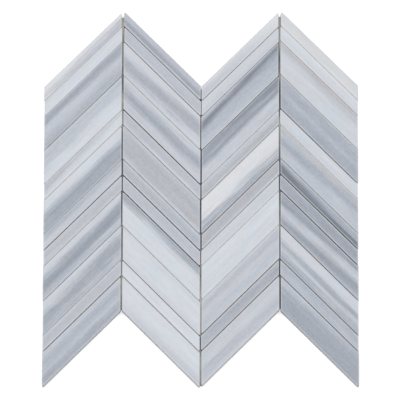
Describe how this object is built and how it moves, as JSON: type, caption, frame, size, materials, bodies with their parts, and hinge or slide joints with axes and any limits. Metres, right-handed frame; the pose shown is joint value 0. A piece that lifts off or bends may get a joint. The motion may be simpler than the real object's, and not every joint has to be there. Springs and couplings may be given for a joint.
{
  "type": "marble chevron mosaic tile sheet",
  "caption": "Net-backed mosaic sheet of mitred marble strips in narrow and wide widths, set in a chevron for floors and walls.",
  "frame": {"origin": "middle of the sheet's underside, on the floor that it lies on", "axes": "+X across the columns, +Y along the columns towards the peaks of the chevron, +Z out of the honed face"},
  "size_m": [0.3048, 0.3714, 0.01],
  "materials": {
    "marble": "honed, linear veins of slate blue-grey on pale bluish white",
    "net": "white fibreglass net with dried pale adhesive"
  },
  "bodies": {
    "root": {"column1_strip01_narrow": "marble", "column1_strip02_narrow": "marble", "column1_strip03_wide": "marble", "column1_strip04_wide": "marble", "column1_strip05_narrow": "marble", "column1_strip06_wide": "marble", "column1_strip07_narrow": "marble", "column1_strip08_narrow": "marble", "column1_strip09_wide": "marble", "column1_strip10_wide": "marble", "column1_strip11_narrow": "marble", "column1_strip12_wide": "marble", "column2_strip01_narrow": "marble", "column2_strip02_narrow": "marble", "column2_strip03_wide": "marble", "column2_strip04_wide": "marble", "column2_strip05_narrow": "marble", "column2_strip06_wide": "marble", "column2_strip07_narrow": "marble", "column2_strip08_narrow": "marble", "column2_strip09_wide": "marble", "column2_strip10_wide": "marble", "column2_strip11_narrow": "marble", "column2_strip12_wide": "marble", "column3_strip01_narrow": "marble", "column3_strip02_narrow": "marble", "column3_strip03_wide": "marble", "column3_strip04_wide": "marble", "column3_strip05_narrow": "marble", "column3_strip06_wide": "marble", "column3_strip07_narrow": "marble", "column3_strip08_narrow": "marble", "column3_strip09_wide": "marble", "column3_strip10_wide": "marble", "column3_strip11_narrow": "marble", "column3_strip12_wide": "marble", "column4_strip01_narrow": "marble", "column4_strip02_narrow": "marble", "column4_strip03_wide": "marble", "column4_strip04_wide": "marble", "column4_strip05_narrow": "marble", "column4_strip06_wide": "marble", "column4_strip07_narrow": "marble", "column4_strip08_narrow": "marble", "column4_strip09_wide": "marble", "column4_strip10_wide": "marble", "column4_strip11_narrow": "marble", "column4_strip12_wide": "marble", "backing_net": "net"}
  },
  "joints": []
}
